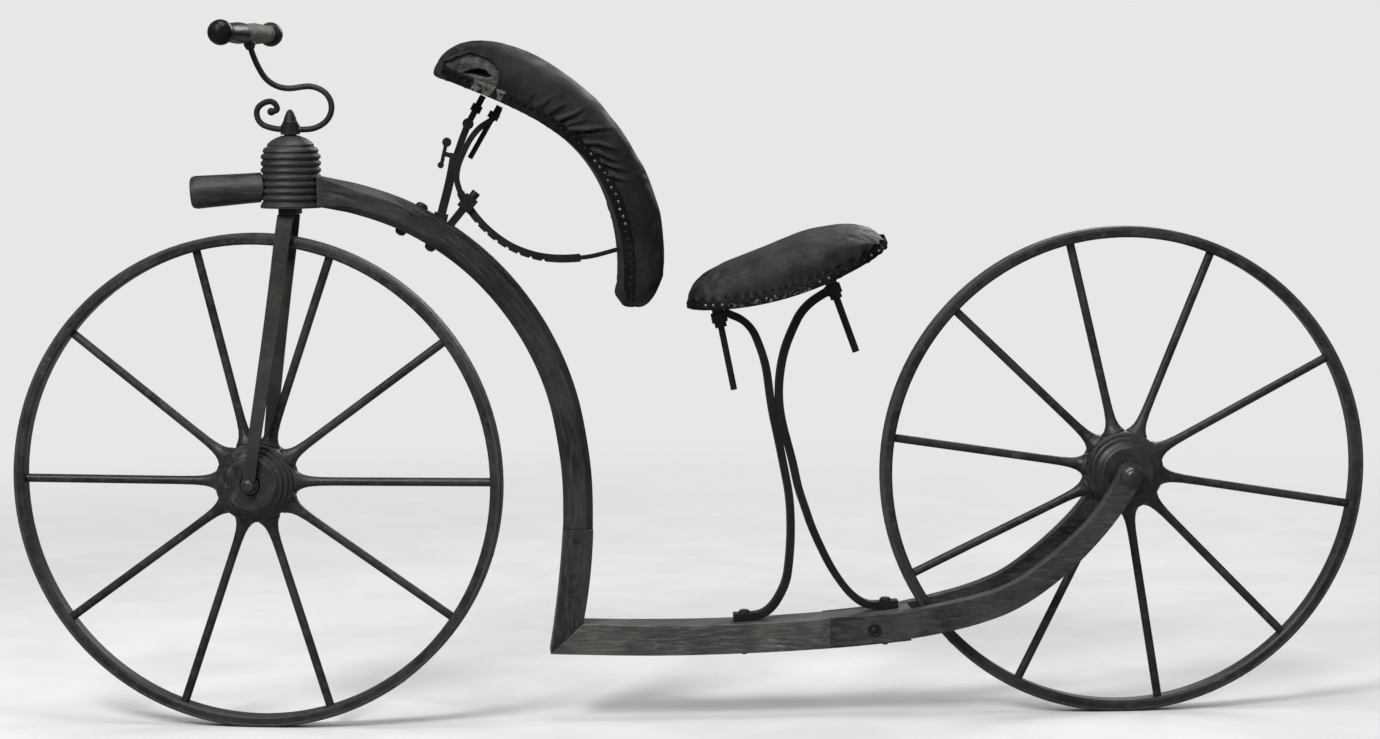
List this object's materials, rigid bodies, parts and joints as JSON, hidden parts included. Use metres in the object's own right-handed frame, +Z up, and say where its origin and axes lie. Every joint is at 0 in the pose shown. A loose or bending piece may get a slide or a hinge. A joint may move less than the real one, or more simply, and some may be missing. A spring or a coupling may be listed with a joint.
{
  "type": "bicycle",
  "caption": "Early wooden running bicycle with carriage wheels, dropped frame with foot platform, steered iron fork, tilted saddle and curved padded arm rest.",
  "frame": {"origin": "the rider's seat on top of the saddle, mount rider, in the middle plane", "axes": "+X to the rear of the machine, +Y to its right side, +Z up; the front wheel points to -X"},
  "size_m": [1.9602, 0.3154, 1.0108],
  "materials": {
    "dark_wood": "worn dark varnish",
    "turned_wood": "worn paint over pale wood",
    "tyre_iron": "worn bare iron",
    "black_iron": "old black paint",
    "bright_iron": "dull worn iron",
    "old_leather": "dry cracked leather"
  },
  "bodies": {
    "frame": {"head_dome": "dark_wood", "head_horn": "dark_wood", "perch": "dark_wood", "upright": "dark_wood", "platform": "dark_wood", "left_arm": "dark_wood", "right_arm": "dark_wood", "rear_axle": "bright_iron", "rear_axle_nuts": "bright_iron", "perch_bolts": "black_iron", "front_stay": "black_iron", "rear_stay": "black_iron", "saddle_screws": "black_iron", "saddle_nuts": "black_iron", "stay_bolts": "black_iron", "saddle_board": "dark_wood", "saddle_cushion": "old_leather", "rest_post": "black_iron", "rest_slide": "black_iron", "rest_arc": "black_iron", "rest_clamp": "black_iron", "rest_clamp_knob": "black_iron", "rest_thumb_screw": "black_iron", "rest_screw": "black_iron", "rest_board": "dark_wood", "rest_cushion": "old_leather"},
    "front_wheel": {"front_nave": "dark_wood", "front_spokes": "dark_wood", "front_felloe": "dark_wood", "front_tyre": "tyre_iron"},
    "rear_wheel": {"rear_nave": "dark_wood", "rear_spokes": "dark_wood", "rear_felloe": "dark_wood", "rear_tyre": "tyre_iron"},
    "fork": {"fork_crown": "black_iron", "left_fork_leg": "black_iron", "right_fork_leg": "black_iron", "front_axle": "bright_iron", "scroll_handle": "black_iron", "hand_grip": "turned_wood", "finial_nut": "bright_iron"}
  },
  "joints": [
    {"name": "steering", "type": "hinge", "parent": "frame", "child": "fork", "pos_m": [-0.729, 0, 0.05], "axis": [0, 0, 1], "range_deg": [-34.5, 55.5]},
    {"name": "front_wheel_spin", "type": "hinge", "parent": "fork", "child": "front_wheel", "pos_m": [-0.78505, 0.01039, -0.3565], "axis": [-0.1822, -0.9833, 0], "continuous": true},
    {"name": "rear_wheel_spin", "type": "hinge", "parent": "frame", "child": "rear_wheel", "pos_m": [0.468, 0, -0.3565], "axis": [0, -1, 0], "continuous": true}
  ]
}
